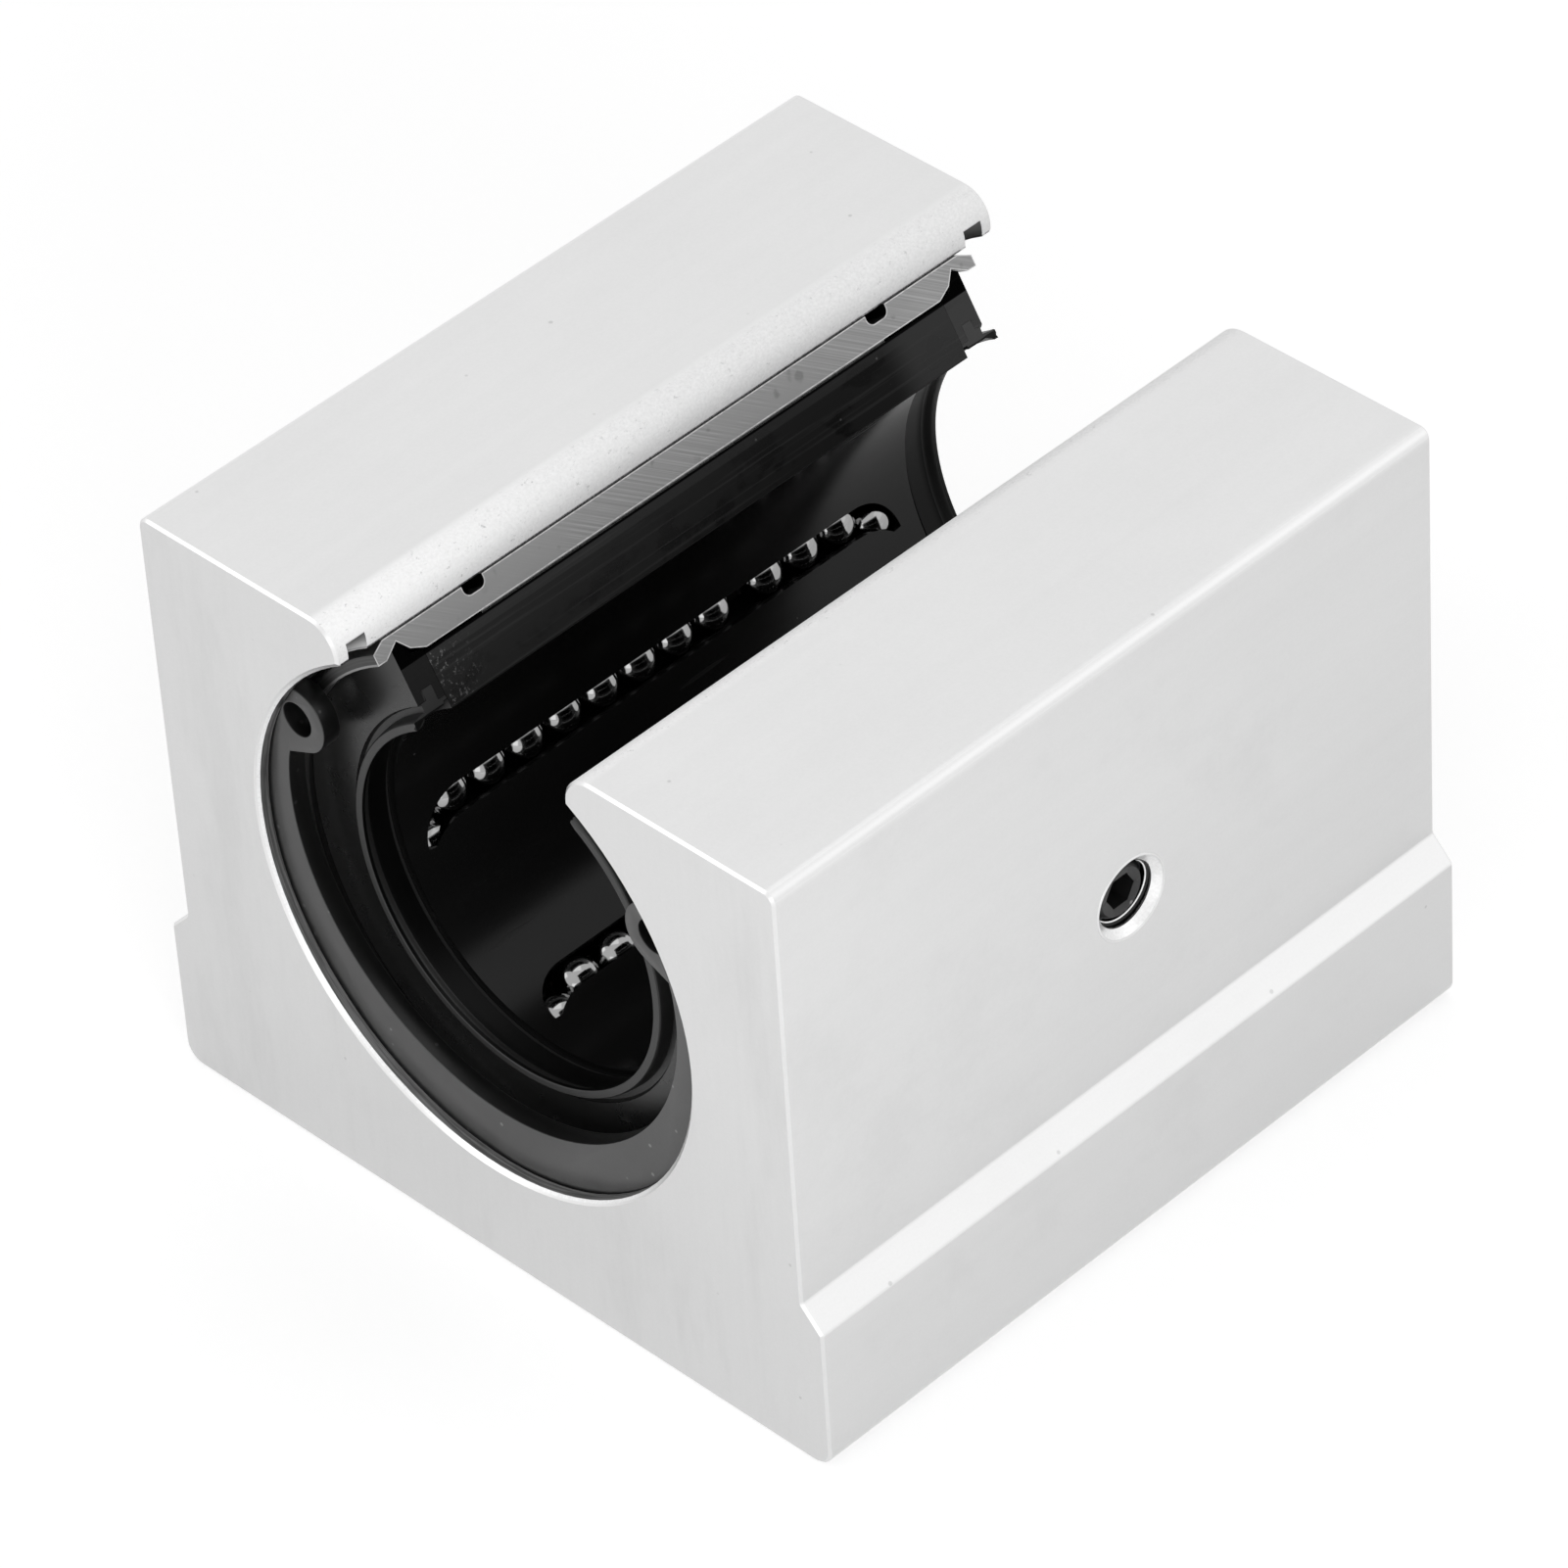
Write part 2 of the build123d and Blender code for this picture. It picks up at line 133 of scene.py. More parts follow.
class Board:
    """The node tree of one material, with short calls that add its nodes."""

    def __init__(self, name: str) -> None:
        """Start an empty material.

        Args:
            name: the material's name.
        """
        self.material = bpy.data.materials.new(name)
        self.material.use_nodes = True
        self.tree = self.material.node_tree
        self.tree.nodes.clear()
        place = self.node("ShaderNodeTexCoord")
        self.place = Wire(self, place.outputs["Object"])
        self.facing = self.output("ShaderNodeNewGeometry", {}, {}, "True Normal")
        self.x, self.y, self.z = self.split(self.place)

    def node(self, kind: str, settings: dict[str, Any] | None = None,
             inputs: dict[Any, Any] | None = None) -> bpy.types.Node:
        """Add a node.

        Args:
            kind: the node's type.
            settings: attributes, which are set first.
            inputs: values or wires for its sockets, by name or number.

        Returns:
            The new node.
        """
        node = self.tree.nodes.new(kind)
        for name, setting in (settings or {}).items():
            setattr(node, name, setting)
        for key, value in (inputs or {}).items():
            if isinstance(value, Wire):
                self.tree.links.new(value.socket, node.inputs[key])
            else:
                node.inputs[key].default_value = value
        return node

    def output(self, kind: str, settings: dict[str, Any], inputs: dict[Any, Any],
               result: str | int = 0) -> Wire:
        """Add a node and take one of its outputs."""
        return Wire(self, self.node(kind, settings, inputs).outputs[result])

    def maths(self, operation: str, *terms: Value) -> Wire:
        """Add a Math node for values alone."""
        return self.output("ShaderNodeMath", {"operation": operation}, dict(enumerate(terms)))

    def greatest(self, *terms: Value) -> Wire:
        """The greatest of several values."""
        return reduce(lambda one, other: self.maths("MAXIMUM", one, other), terms)

    def vector(self, operation: str, *terms: Any) -> Wire:
        """Add a Vector Math node."""
        result = "Value" if operation == "LENGTH" else "Vector"
        settings = {"operation": operation}
        return self.output("ShaderNodeVectorMath", settings, dict(enumerate(terms)), result)

    def split(self, vector: Wire) -> tuple[Wire, Wire, Wire]:
        """The three parts of a vector."""
        outputs = self.node("ShaderNodeSeparateXYZ", {}, {0: vector}).outputs
        return tuple(Wire(self, socket) for socket in outputs)

    def join(self, x: Value, y: Value, z: Value) -> Wire:
        """A vector from three values."""
        return self.output("ShaderNodeCombineXYZ", {}, {0: x, 1: y, 2: z})

    def noise(self, scale: float, stretch: tuple[float, float, float] = (1, 1, 1),
              detail: float = 2.0, rough: float = 0.5, at: Wire | None = None) -> Wire:
        """Cloudy noise from 0 to 1.

        Args:
            scale: waves to the metre.
            stretch: factors of scale along the three axes.
            detail: finer layers.
            rough: how strong the finer layers are.
            at: where to read it, or the object's own place.

        Returns:
            The noise.
        """
        where = self.vector("MULTIPLY", at or self.place, stretch)
        inputs = {"Vector": where, "Scale": scale, "Detail": detail, "Roughness": rough}
        return self.output("ShaderNodeTexNoise", {}, inputs, "Fac")

    def specks(self, scale: float, share: float, size: float) -> Wire:
        """Small round spots, scattered thinly.

        Args:
            scale: cells to the metre.
            share: part of the cells that hold a spot.
            size: spot radius as part of a cell.

        Returns:
            1 in a spot and 0 outside.
        """
        inputs = {"Vector": self.place, "Scale": scale, "Randomness": 1.0}
        cells = self.node("ShaderNodeTexVoronoi", {}, inputs)
        chosen, _, _ = self.split(Wire(self, cells.outputs["Color"]))
        near = Wire(self, cells.outputs["Distance"]).ramp(size, size * 0.5)
        return near * (chosen < share)

    def attribute(self, name: str) -> Wire:
        """A value that the mesh carries."""
        return self.output("ShaderNodeAttribute", {"attribute_name": name}, {}, "Fac")

    def bump(self, height: Wire, depth: float, strength: float = 1.0,
             under: Wire | None = None) -> Wire:
        """Normal of a surface with fine relief.

        Args:
            height: the relief, 0 to 1.
            depth: its depth in metres.
            strength: share of the relief that shows.
            under: a coarser relief below this one.

        Returns:
            The normal.
        """
        inputs = {"Height": height, "Distance": depth, "Strength": strength}
        if under:
            inputs["Normal"] = under
        return self.output("ShaderNodeBump", {}, inputs, "Normal")

    def finish(self, **inputs: Any) -> bpy.types.Material:
        """Close the tree with a Principled surface.

        Args:
            inputs: its sockets, with underscores in place of blanks.

        Returns:
            The material.
        """
        sockets = {name.replace("_", " "): value for name, value in inputs.items()}
        surface = self.node("ShaderNodeBsdfPrincipled", {}, sockets)
        self.node("ShaderNodeOutputMaterial", {}, {"Surface": Wire(self, surface.outputs[0])})
        return self.material

    def leaning(self) -> tuple[Wire, Wire, Wire]:
        """How much the surface faces across, along and up, each from 0 to 1."""
        return tuple(abs(part) for part in self.split(self.facing))

    def bore_radius(self) -> Wire:
        """Distance from the axis of the bore."""
        return self.vector("LENGTH", self.join(self.x, 0.0, self.z - BORE_HEIGHT))


def grey(level: float) -> tuple[float, float, float, float]:
    """Opaque grey of one linear level."""
    return (level, level, level, 1.0)


@dataclass(frozen=True)
class SatinAluminium:
    """Extruded aluminium, milled at its ends and bored inside, its slot lips rough; painted
    highlights on its slants, lips and cut edges, painted shade in its bore, grooves and thread
    root.
    """

    name: str = "satin_aluminium"
    level: float = 0.735
    slant_highlight_level: float = 0.80
    lip_highlight_level: float = 0.98
    lip_highlight_fade: float = 0.12
    lip_grain: float = 0.25
    lip_roughness: float = 0.22
    lip_mattness: float = 0.85
    flake_shade: float = 0.16
    flake_front_shade: float = 0.18
    flake_start: float = 10 * MM
    flake_end: float = -38 * MM
    roughness: float = 0.36
    uneven_roughness: float = 0.10
    edge_highlight_level: float = 0.88
    lip_side: float = 16.9 * MM
    lip_bottom: float = 59.0 * MM
    pit_depth: float = 0.02 * MM
    groove_start: float = 36.48 * MM
    groove_end: float = 38.67 * MM
    groove_floor: float = 27.6 * MM
    groove_painted_shade: float = 0.20
    side_stain: float = 0.03
    end_stain: float = 0.025
    line_tone: float = 0.025
    mottle_tone: float = 0.05
    end_shade: float = 0.01
    pit_shade: float = 0.16
    ding_shade: float = 0.10
    turned_shade: float = 0.35
    bore_painted_shade: float = 0.12
    bored_half_length: float = 39.62 * MM
    turned_depth: float = 0.02 * MM
    edge_grain: float = 0.3
    chamfer_inner: float = 26.16 * MM
    chamfer_outer: float = 26.28 * MM
    chamfer_start: float = 39.58 * MM
    chamfer_end: float = 39.99 * MM
    mouth_place: tuple[float, float] = (1.3 * MM, 35.8 * MM)
    mouth_radius: float = 4.05 * MM
    mouth_start: float = 37.04 * MM
    mouth_end: float = 37.74 * MM
    crest_depth: float = 34 * MM
    root_start: float = 3.09 * MM
    root_end: float = 3.33 * MM
    root_face: float = 36.86 * MM
    root_depth: float = 30 * MM
    root_painted_shade: float = 0.96

    def material(self) -> bpy.types.Material:
        """Build the finish.

        Returns:
            The material.
        """
        board = Board(self.name)
        across, along, up = board.leaning()
        # slanted faces such as the step chamfer are painted lighter: a painted highlight
        slant_highlight = board.greatest(across, along, up).ramp(0.995, 0.93)
        end_face = along.ramp(0.9, 0.99)
        past_bore = board.bore_radius() - BORE_RADIUS
        in_bore = past_bore.ramp(0.2 * MM, 0.1 * MM) * (
            abs(board.y) < self.bored_half_length)
        lip = self.lip(board) * (1.0 - in_bore) * along.ramp(0.6, 0.4)

        die_lines = board.noise(620, (1, 0.02, 1), 2.0, 0.5)
        mill_marks = board.noise(1300, (1, 1, 0.04), 3.0, 0.6)
        cloud = board.noise(55, (1, 0.7, 1), 4.0, 0.6)
        grain = board.noise(4200, (1, 0.8, 1), 2.0, 0.6)
        turning = board.noise(5200, (0.03, 1, 0.03), 2.0, 0.7)
        crumbs = board.noise(1900, (1, 0.7, 1), 4.0, 0.7)
        pits = board.specks(330, 0.16, 0.09)
        dings = board.specks(120, 0.10, 0.05)
        streaks = board.noise(75, (1, 1, 0.22), 5.0, 0.7).ramp(0.48, 0.72)
        blotches = board.noise(48, (1, 1, 1), 5.0, 0.7).ramp(0.50, 0.72)
        stain = (blotches + end_face * (streaks - blotches)) * up.ramp(0.9, 0.5)

        lines = die_lines + end_face * (mill_marks - die_lines)
        tone = self.level + (lines - 0.5) * self.line_tone
        tone = tone + (cloud - 0.5) * self.mottle_tone + (grain - 0.5) * self.mottle_tone
        tone = tone - end_face * self.end_shade - pits * self.pit_shade - dings * self.ding_shade
        tone = tone - stain * (self.side_stain + end_face * self.end_stain)
        tone = tone + slant_highlight * (self.slant_highlight_level - self.level)
        front = board.y.ramp(self.flake_start, self.flake_end)
        flakes_and_highlight_fade = crumbs.ramp(0.60, 0.70) * (self.flake_shade + front * self.flake_front_shade)
        flakes_and_highlight_fade = flakes_and_highlight_fade + (grain - 0.5) * self.lip_grain
        # the lips' painted highlight fades toward the rear
        flakes_and_highlight_fade = flakes_and_highlight_fade + (1.0 - front) * self.lip_highlight_fade
        # rough matt lips painted near-white: a painted highlight over their real flakes and grain
        tone = tone + lip * (self.lip_highlight_level - tone - flakes_and_highlight_fade)
        # the bore is darker by its real turning marks and by painted shade over its whole surface
        turning_and_painted_shade = turning.ramp(0.35, 0.65) * self.turned_shade + self.bore_painted_shade
        tone = tone - in_bore * turning_and_painted_shade
        # painted highlight on the countersink, the bore chamfers and the side thread crest
        edge_highlight = self.edge_highlight_level - tone + (grain - 0.5) * self.edge_grain
        tone = tone + self.cut_edges(board) * edge_highlight
        # painted shade inside the retaining ring grooves
        tone = tone - self.groove(board) * tone * self.groove_painted_shade
        # painted shadow in the root of the side thread
        tone = tone - self.thread_root(board) * tone * self.root_painted_shade
        colour = board.join(tone, tone, tone)

        rough = self.roughness + (cloud - 0.5) * self.uneven_roughness
        rough = rough + (grain - 0.5) * self.uneven_roughness + lip * self.lip_roughness
        relief = lines * 0.10 + grain * 0.15 - pits - dings * 0.8 + crumbs * lip * 2.2
        normal = board.bump(relief, self.pit_depth, 0.35)
        normal = board.bump(turning * in_bore, self.turned_depth, 0.6, normal)
        metal = 1.0 - lip * self.lip_mattness
        return board.finish(Base_Color=colour, Metallic=metal, Roughness=rough, Normal=normal)

    def mouth_distance(self, board: Board) -> Wire:
        """Distance from the axis of the side hole."""
        along, up = self.mouth_place
        return board.vector("LENGTH", board.join(0.0, board.y - along, board.z - up))

    def cut_edges(self, board: Board) -> Wire:
        """1 on the countersink, the chamfers of the bore and the crest of the side thread."""
        countersink = (self.mouth_distance(board) < self.mouth_radius) * (
            board.x > self.mouth_start) * (board.x < self.mouth_end)
        chamfer = board.bore_radius().ramp(self.chamfer_outer, self.chamfer_inner) * (
            abs(board.y) > self.chamfer_start) * (abs(board.y) < self.chamfer_end)
        crest = (self.mouth_distance(board) < self.root_start) * (board.x > self.crest_depth)
        return board.greatest(countersink, chamfer, crest)

    def groove(self, board: Board) -> Wire:
        """1 inside the grooves of the retaining rings."""
        radius = board.bore_radius()
        along = abs(board.y)
        return ((radius > BORE_RADIUS + 0.03 * MM) * (radius < self.groove_floor)
                * (along > self.groove_start) * (along < self.groove_end))

    def thread_root(self, board: Board) -> Wire:
        """1 in the root of the side thread, behind its crest, where shadow is painted."""
        radius = self.mouth_distance(board)
        return ((radius > self.root_start) * (radius < self.root_end)
                * (board.x > self.root_depth) * (board.x < self.root_face))

    def lip(self, board: Board) -> Wire:
        """1 on the rounded lips of the rail slot."""
        inside = abs(board.x).ramp(self.lip_side, self.lip_side - 1.2 * MM)
        return inside * board.z.ramp(self.lip_bottom - 0.2 * MM, self.lip_bottom)


@dataclass(frozen=True)
class SawnSteel:
    """Bearing steel of the sleeve, ground outside, its slot faces cut across; painted shade on its
    end faces and painted highlights along its rims.
    """

    level: float = 0.285
    worn_and_highlight_level: float = 0.60
    end_shade: float = 0.75
    rim_edge: float = 24.40 * MM
    roughness: float = 0.34

    def material(self) -> bpy.types.Material:
        """Build the finish.

        Returns:
            The material.
        """
        board = Board("sleeve_steel")
        slope = board.join(board.y + board.bore_radius() * 1.4, 0.0, 0.0)
        scores = board.noise(2600, (1, 1, 1), 3.0, 0.65, at=slope)
        patches = board.noise(190, (1, 0.45, 1), 3.0, 0.6)
        stains = board.noise(420, (1, 1, 1), 2.0, 0.5).ramp(0.66, 0.74)
        strength = patches.ramp(0.35, 0.6)
        level = self.level + (scores.ramp(0.42, 0.62) - 0.5) * strength * 0.10
        level = level + (patches - 0.5) * 0.14 - stains * 0.07
        _, along, _ = board.leaning()
        # painted shade darkens the end faces, which lie back in shadow behind the retaining rings
        level = level - along.ramp(0.3, 0.6) * level * self.end_shade
        # bright rims: a painted highlight line along the inner edge of each end face, and the
        # slot-face edges both worn and painted bright with highlight
        rim = (along > 0.9) * (board.bore_radius() < self.rim_edge)
        broken = board.noise(1600, (1, 1, 1), 2.0, 0.6).ramp(0.3, 0.6)
        worn = board.greatest(board.attribute(WORN) * (0.45 + broken * 0.55), rim * 0.35)
        level = level + worn * (self.worn_and_highlight_level - level)
        rough = self.roughness + (patches - 0.5) * 0.2
        normal = board.bump(scores * strength, 0.012 * MM, 0.5)
        colour = board.join(level, level, level)
        return board.finish(Base_Color=colour, Metallic=1.0, Roughness=rough, Normal=normal)


@dataclass(frozen=True)
class MouldedPlastic:
    """Glossy black moulded plastic with a few handling marks, and painted shade on its slot cut
    faces.
    """

    name: str
    level: float = 0.004
    roughness: float = 0.22
    specular: float = 0.22
    rear_gain: float = 0.012
    scuff_front: float = -31.0 * MM
    scuff_end: float = -26.0 * MM
    ring_joint: float = -31.65 * MM
    gap_radius: float = 22.8 * MM
    band_radius: float = 22.0 * MM
    rear_start: float = 23 * MM
    rear_full: float = 27 * MM
    fade_start: float = -28 * MM
    fade_full: float = 22 * MM
    fade_share: float = 0.72
    cut_bottom: float = 14 * MM
    cut_full: float = 14.6 * MM
    bore_skin: float = 17.7 * MM

    def material(self) -> bpy.types.Material:
        """Build the finish.

        Returns:
            The material.
        """
        board = Board(self.name)
        cloud = board.noise(60, (1, 1, 1), 3.0, 0.6)
        smear = board.noise(240, (1, 0.3, 1), 4.0, 0.65)
        dust = board.specks(700, 0.05, 0.10)
        scratches = board.noise(900, (1, 0.05, 1), 2.0, 0.5).ramp(0.68, 0.74)
        level = self.level + cloud * 0.003 + dust * 0.05 + scratches * 0.004
        rough = self.roughness + (smear - 0.5) * 0.12 + scratches * 0.1
        height = smear * 0.5 - scratches * 0.4

        cut = self.cut_face(board)
        grit = board.noise(2100, (1, 1, 1), 4.0, 0.7)
        saw = board.noise(2600, (1, 0.012, 1), 2.0, 0.5).ramp(0.56, 0.70)
        blots = board.noise(330, (1, 0.6, 1), 3.0, 0.6).ramp(0.52, 0.60)
        ringed = board.y < self.ring_joint
        rear = board.y.ramp(self.rear_start, self.rear_full)
        radius = board.bore_radius()
        # painted shadow along the outer edge of the cut faces, where they meet the sleeve
        gap_painted_shadow = cut * radius.ramp(self.gap_radius - 0.05 * MM, self.gap_radius)
        band = radius.ramp(self.band_radius - 0.1 * MM, self.band_radius)
        torn = self.scuffed(board) * grit.ramp(0.56, 0.66) * (1.0 - ringed)
        lighter = rear * self.rear_gain + saw * 0.010 + band * 0.010 * (1.0 - rear)
        level = level + cut * (lighter * (1.0 - ringed) + torn * 0.09)
        # painted shade: the cut faces lose their reflection toward the rear and on the front end
        # ring, besides random dull blots
        fading = board.y.ramp(self.fade_start, self.fade_full) * self.fade_share * (1.0 - rear)
        painted_shade_and_dull_blots = cut * board.greatest(fading + blots * 0.15, ringed * 0.8) * (1.0 - torn)
        painted_shade_and_dull_blots = painted_shade_and_dull_blots + gap_painted_shadow * (1.0 - painted_shade_and_dull_blots)
        level = level * (1.0 - gap_painted_shadow * 0.9)
        rough = rough + cut * (0.2 - blots * 0.15 + torn * 0.25)
        height = height + cut * (grit * self.scuffed(board) * 4.0 + saw * 0.6)
        normal = board.bump(height, 0.012 * MM, 0.5)
        colour = board.join(level, level, level)
        return board.finish(Base_Color=colour, Metallic=painted_shade_and_dull_blots, Roughness=rough, Normal=normal,
                            Specular_IOR_Level=self.specular)

    def scuffed(self, board: Board) -> Wire:
        """1 near the front corner, where the cut faces are torn."""
        return board.y.ramp(self.scuff_end, self.scuff_front)

    def cut_face(self, board: Board) -> Wire:
        """1 on the faces that were sawn for the rail slot."""
        across, along, _ = board.leaning()
        above = (board.z - BORE_HEIGHT).ramp(self.cut_bottom, self.cut_full)
        inside = board.bore_radius() > self.bore_skin
        return above * inside * (across > 0.8) * (along < 0.25)


@dataclass(frozen=True)
class SealRubber:
    """Soft black rubber of the lip seals, with painted shade on the bore side of the lips."""

    level: float = 0.014
    roughness: float = 0.42
    bore_edge: float = 18.3 * MM

    def material(self) -> bpy.types.Material:
        """Build the finish.

        Returns:
            The material.
        """
        board = Board("seal_rubber")
        grain = board.noise(3200, (1, 1, 1), 2.0, 0.6)
        cloud = board.noise(160, (1, 1, 1), 3.0, 0.6)
        _, along, _ = board.leaning()
        # painted shade on the lips' bore side: darker and metallic so it reflects little
        inside = (board.bore_radius() < self.bore_edge) * along.ramp(0.6, 0.4)
        level = (self.level + cloud * 0.01) * (1.0 - inside * 0.7)
        rough = self.roughness + (cloud - 0.5) * 0.2
        normal = board.bump(grain, 0.01 * MM, 0.4)
        colour = board.join(level, level, level)
        return board.finish(Base_Color=colour, Metallic=inside * 0.8, Roughness=rough,
                            Normal=normal)


@dataclass(frozen=True)
class BlackOxide:
    """Blackened steel, brighter where it is rubbed, with painted shade on its walls if asked."""

    name: str
    level: float = 0.10
    bright_level: float = 0.22
    roughness: float = 0.36
    metallic: float = 0.85
    wall_painted_shade: float = 0.0

    def material(self) -> bpy.types.Material:
        """Build the finish.

        Returns:
            The material.
        """
        board = Board(self.name)
        cloud = board.noise(220, (1, 1, 1), 3.0, 0.6)
        grain = board.noise(3500, (1, 1, 1), 2.0, 0.6)
        rubbed = board.specks(900, 0.10, 0.22)
        level = self.level + (cloud - 0.5) * 0.03 + rubbed * (self.bright_level - self.level)
        _, along, _ = board.leaning()
        # painted shade on the walls
        level = level * (1.0 - along.ramp(0.5, 0.2) * self.wall_painted_shade)
        rough = self.roughness + (grain - 0.5) * 0.12 + (cloud - 0.5) * 0.1
        normal = board.bump(grain, 0.006 * MM, 0.5)
        colour = board.join(level, level, level)
        return board.finish(Base_Color=colour, Metallic=self.metallic, Roughness=rough,
                            Normal=normal)


@dataclass(frozen=True)
class PolishedSteel:
    """Lapped bearing balls."""

    level: float = 0.36
    roughness: float = 0.08

    def material(self) -> bpy.types.Material:
        """Build the finish.

        Returns:
            The material.
        """
        board = Board("polished_steel")
        film = board.noise(500, (1, 1, 1), 2.0, 0.5)
        rough = self.roughness + film.ramp(0.4, 0.7) * 0.06
        level = self.level + (film - 0.5) * 0.06
        colour = board.join(level, level, level)
        return board.finish(Base_Color=colour, Metallic=1.0, Roughness=rough)


def dress(node: str, material: bpy.types.Material) -> None:
    """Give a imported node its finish.

    Args:
        node: the node's name.
        material: what its slots get.
    """
    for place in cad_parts[node].material_slots:
        place.material = material
    log.info("dressed %s with %s", node, material.name)


class Form:
    """A mesh in the making."""

    def __init__(self) -> None:
        """Start empty."""
        self.mesh = bmesh.new()

    @classmethod
    def of_node(cls, node: str) -> "Form":
        """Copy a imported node, with its loose triangles merged into whole faces.

        Args:
            node: the node's name.

        Returns:
            The copy.
        """
        form = cls()
        form.mesh.from_mesh(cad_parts[node].data)
        form.merge()
        bmesh.ops.dissolve_limit(form.mesh, angle_limit=math.radians(0.5),
                                 verts=form.mesh.verts[:], edges=form.mesh.edges[:])
        return form

    def merge(self, distance: float = 0.002 * MM) -> None:
        """Weld vertices that lie on each other."""
        bmesh.ops.remove_doubles(self.mesh, verts=self.mesh.verts[:], dist=distance)

    def outline(self, corners: list[tuple[float, float]], cuts: int = 0) -> list[Any]:
        """Lay a closed outline on the plane through the Y axis.

        Args:
            corners: places as (along Y, distance from the axis).
            cuts: further vertices on each edge.

        Returns:
            Its vertices and edges.
        """
        verts = [self.mesh.verts.new((0.0, along, radius)) for along, radius in corners]
        edges = [self.mesh.edges.new(pair) for pair in zip(verts, verts[1:] + verts[:1])]
        if cuts:
            bmesh.ops.subdivide_edges(self.mesh, edges=edges, cuts=cuts)
        return self.mesh.verts[:] + self.mesh.edges[:]

    def lathe(self, corners: list[tuple[float, float]], steps: int) -> None:
        """Spin a closed outline once round the Y axis.

        Args:
            corners: places as (along Y, distance from the axis).
            steps: faces round the axis.
        """
        bmesh.ops.spin(self.mesh, geom=self.outline(corners), cent=(0, 0, 0), axis=(0, 1, 0),
                       angle=math.tau, steps=steps, use_merge=True)
        self.merge()

    def turn(self, angle: float, axis: tuple[float, float, float] = (0, 1, 0)) -> None:
        """Turn everything about an axis through the origin."""
        bmesh.ops.rotate(self.mesh, verts=self.mesh.verts[:], cent=(0, 0, 0),
                         matrix=Matrix.Rotation(angle, 3, axis))

    def shift(self, way: tuple[float, float, float]) -> None:
        """Move everything."""
        bmesh.ops.translate(self.mesh, verts=self.mesh.verts[:], vec=way)

    def bevel_corners(self, width: float, sharper_than: float, segments: int = 2) -> None:
        """Round the sharp edges.

        Args:
            width: distance from the edge in metres.
            sharper_than: least angle between the faces in degrees.
            segments: faces across the rounding.
        """
        least = math.radians(sharper_than)
        edges = [edge for edge in self.mesh.edges
                 if len(edge.link_faces) == 2 and edge.calc_face_angle() > least]
        bmesh.ops.bevel(self.mesh, geom=edges, offset=width, offset_type="OFFSET",
                        affect="EDGES", segments=segments, profile=0.5, material=-1,
                        clamp_overlap=True)

    def wear_slot_edges(self, width: float) -> None:
        """Mark a narrow rim of the slot faces, which lie in planes through the bore's axis.

        Args:
            width: of the rim in metres.
        """
        axis = Vector((0, 0, BORE_HEIGHT))
        worn = self.mesh.faces.layers.float.new(WORN)
        self.mesh.normal_update()
        cut = [face for face in self.mesh.faces if abs(face.normal.y) < 0.01
               and abs(face.normal.dot(face.calc_center_median() - axis)) < 0.05 * MM]
        rims = bmesh.ops.inset_region(self.mesh, faces=cut, use_boundary=True,
                                      use_even_offset=True, thickness=width)["faces"]
        log.info("worn rim round %d slot faces: %d faces", len(cut), len(rims))
        for face in rims:
            face[worn] = 1.0

    def piece(self, name: str, body: str, slot: str, material: bpy.types.Material,
              stands_for: str | None = None, smooth: float = 32.0) -> bpy.types.Object:
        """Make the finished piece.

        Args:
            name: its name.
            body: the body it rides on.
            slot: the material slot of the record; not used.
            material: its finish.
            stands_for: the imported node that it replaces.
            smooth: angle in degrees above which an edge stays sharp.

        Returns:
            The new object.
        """
        bmesh.ops.recalc_face_normals(self.mesh, faces=self.mesh.faces[:])
        data = bpy.data.meshes.new(name)
        self.mesh.to_mesh(data)
        self.mesh.free()
        data.shade_smooth()
        data.set_sharp_from_angle(angle=math.radians(smooth))
        data.materials.append(material)
        thing = bpy.data.objects.new(name, data)
        bpy.context.scene.collection.objects.link(thing)
        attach(thing, body)
        if stands_for:
            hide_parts(stands_for)
        log.info("made %s, %d faces", name, len(data.polygons))
        return thing


@dataclass
class Helix:
    """One screw thread ridge about the Z axis, made by spinning its outline upward."""

    outline: tuple[tuple[float, float], ...]
    pitch: float
    turns: float
    steps: int = 36

    def wind(self) -> Form:
        """Spin the outline.

        Returns:
            The ridge, open toward the wall and at its ends.
        """
        form = Form()
        verts = [form.mesh.verts.new((radius, 0.0, up)) for up, radius in self.outline]
        edges = [form.mesh.edges.new(pair) for pair in zip(verts, verts[1:])]
        count = round(self.steps * self.turns)
        bmesh.ops.spin(form.mesh, geom=verts + edges, cent=(0, 0, 0), axis=(0, 0, 1),
                       dvec=(0, 0, self.pitch / self.steps), angle=math.tau * self.turns,
                       steps=count)
        form.merge()
        return form


